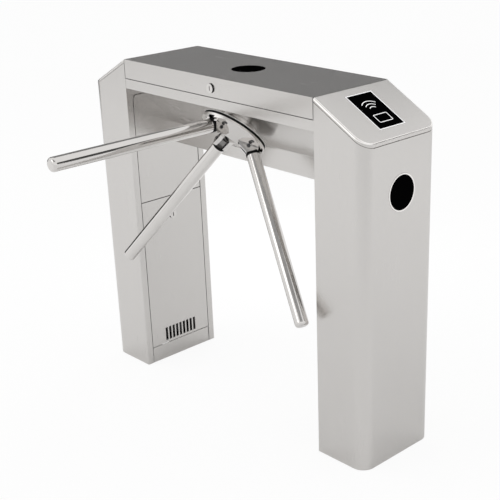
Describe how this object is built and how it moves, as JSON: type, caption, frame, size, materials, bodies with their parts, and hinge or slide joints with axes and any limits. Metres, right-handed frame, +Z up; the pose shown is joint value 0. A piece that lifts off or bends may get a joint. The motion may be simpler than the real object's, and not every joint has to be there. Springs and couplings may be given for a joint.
{
  "type": "tripod turnstile",
  "caption": "Bridge-type tripod turnstile in brushed stainless steel: legs with sloped heads, a beam with a hinged lid, and an inclined hub whose arms turn to let people through.",
  "frame": {"origin": "on the floor, midway between the two legs and between front and back of the casing", "axes": "+X along the beam, -Y towards the side the arms reach to, +Z up"},
  "size_m": [1.1216, 0.8042, 1],
  "materials": {
    "casing_steel": "satin brushed stainless sheet",
    "polished_steel": "polished stainless tube and plate",
    "polished_casting": "polished casting",
    "black_rubber": "matt black",
    "dark_steel": "black oxide",
    "shaft_steel": "turned steel",
    "disc_aluminium": "plain",
    "zinc_steel": "zinc plated",
    "hinge_steel": "plain stainless",
    "bearing_steel": "ground",
    "cast_aluminium": "as cast",
    "solenoid_black": "black lacquer",
    "sensor_plastic": "moulded",
    "board_green": "solder resist",
    "supply_case": "perforated case",
    "black_lens": "smoked acrylic",
    "bright_ring": "polished",
    "lock_chrome": "plated"
  },
  "bodies": {
    "frame": {"left_leg_shell": "casing_steel", "right_leg_shell": "casing_steel", "left_head_cap": "casing_steel", "right_head_cap": "casing_steel", "left_upper_panel": "casing_steel", "right_upper_panel": "casing_steel", "plinth_panels": "casing_steel", "beam_tray": "casing_steel", "beam_back_panel": "casing_steel", "hub_shroud": "casing_steel", "left_base_plate": "zinc_steel", "right_base_plate": "zinc_steel", "beam_end_plates": "zinc_steel", "beam_bolts": "zinc_steel", "mech_plate": "zinc_steel", "pawl_pins": "zinc_steel", "damper_bridge": "zinc_steel", "lamp_housings": "zinc_steel", "lid_hinge_fixed_leaf": "hinge_steel", "lid_hinge_pin": "hinge_steel", "front_bearing": "bearing_steel", "rear_bearing": "bearing_steel", "bearing_housing": "cast_aluminium", "lock_solenoids": "solenoid_black", "centring_damper": "solenoid_black", "position_sensor": "sensor_plastic", "reader_modules": "sensor_plastic", "control_board": "board_green", "power_supply": "supply_case", "reader_windows": "black_lens", "end_lenses": "black_lens", "end_lens_rings": "bright_ring"},
    "tripod": {"hub_back_plate": "polished_steel", "front_arm_tube": "polished_steel", "left_arm_tube": "polished_steel", "right_arm_tube": "polished_steel", "arm_end_caps": "polished_steel", "hub_casting": "polished_casting", "hub_gasket": "black_rubber", "arm_collars": "black_rubber", "hub_screws": "dark_steel", "arm_necks": "shaft_steel", "main_shaft": "shaft_steel", "index_wheel": "shaft_steel", "shaft_nut": "shaft_steel", "sensor_disc": "disc_aluminium"},
    "lid": {"lid_cover": "casing_steel", "lid_hinge_moving_leaf": "hinge_steel", "top_lens": "black_lens"},
    "lid_lock": {"lid_lock": "lock_chrome"},
    "left_door": {"left_door": "casing_steel"},
    "right_door": {"right_door": "casing_steel"},
    "left_door_lock": {"left_door_lock": "lock_chrome"},
    "right_door_lock": {"right_door_lock": "lock_chrome"},
    "left_pawl": {"left_pawl": "shaft_steel"},
    "right_pawl": {"right_pawl": "shaft_steel"},
    "left_plunger": {"left_plunger": "shaft_steel"},
    "right_plunger": {"right_plunger": "shaft_steel"}
  },
  "joints": [
    {"name": "tripod_spin", "type": "hinge", "parent": "frame", "child": "tripod", "pos_m": [0, -0.04152, 0.85572], "axis": [0, -0.7071, -0.7071], "continuous": true},
    {"name": "lid_hinge", "type": "hinge", "parent": "frame", "child": "lid", "pos_m": [0, 0.14425, 0.974], "axis": [-1, 0, 0], "range_deg": [0, 75]},
    {"name": "lid_lock_turn", "type": "hinge", "parent": "lid", "child": "lid_lock", "pos_m": [0, -0.14, 0.969], "axis": [0, 1, 0], "range_deg": [0, 90]},
    {"name": "left_door_tilt", "type": "hinge", "parent": "frame", "child": "left_door", "pos_m": [-0.39, 0, 0.054], "axis": [0, 1, 0], "range_deg": [0, 30]},
    {"name": "left_door_lock_turn", "type": "hinge", "parent": "left_door", "child": "left_door_lock", "pos_m": [-0.39, 0, 0.487], "axis": [1, 0, 0], "range_deg": [0, 90]},
    {"name": "left_pawl_swing", "type": "hinge", "parent": "frame", "child": "left_pawl", "pos_m": [-0.098, 0.0108, 0.84299], "axis": [0, 0.7071, 0.7071], "range_deg": [0, 12], "stiffness_Nm_per_rad": 0.1, "springref_deg": -11.46},
    {"name": "left_plunger_slide", "type": "slide", "parent": "frame", "child": "left_plunger", "axis": [1, 0, 0], "range_m": [0, 0.0085]},
    {"name": "right_door_tilt", "type": "hinge", "parent": "frame", "child": "right_door", "pos_m": [0.39, 0, 0.054], "axis": [0, -1, 0], "range_deg": [0, 30]},
    {"name": "right_door_lock_turn", "type": "hinge", "parent": "right_door", "child": "right_door_lock", "pos_m": [0.39, 0, 0.487], "axis": [1, 0, 0], "range_deg": [0, 90]},
    {"name": "right_pawl_swing", "type": "hinge", "parent": "frame", "child": "right_pawl", "pos_m": [0.098, 0.0108, 0.84299], "axis": [0, -0.7071, -0.7071], "range_deg": [0, 12], "stiffness_Nm_per_rad": 0.1, "springref_deg": -11.46},
    {"name": "right_plunger_slide", "type": "slide", "parent": "frame", "child": "right_plunger", "axis": [-1, 0, 0], "range_m": [0, 0.0085]}
  ],
  "couplings": [
    {"joint": "left_plunger_slide", "follows": "left_pawl_swing", "m_per_rad": 0.04},
    {"joint": "right_plunger_slide", "follows": "right_pawl_swing", "m_per_rad": 0.04}
  ]
}
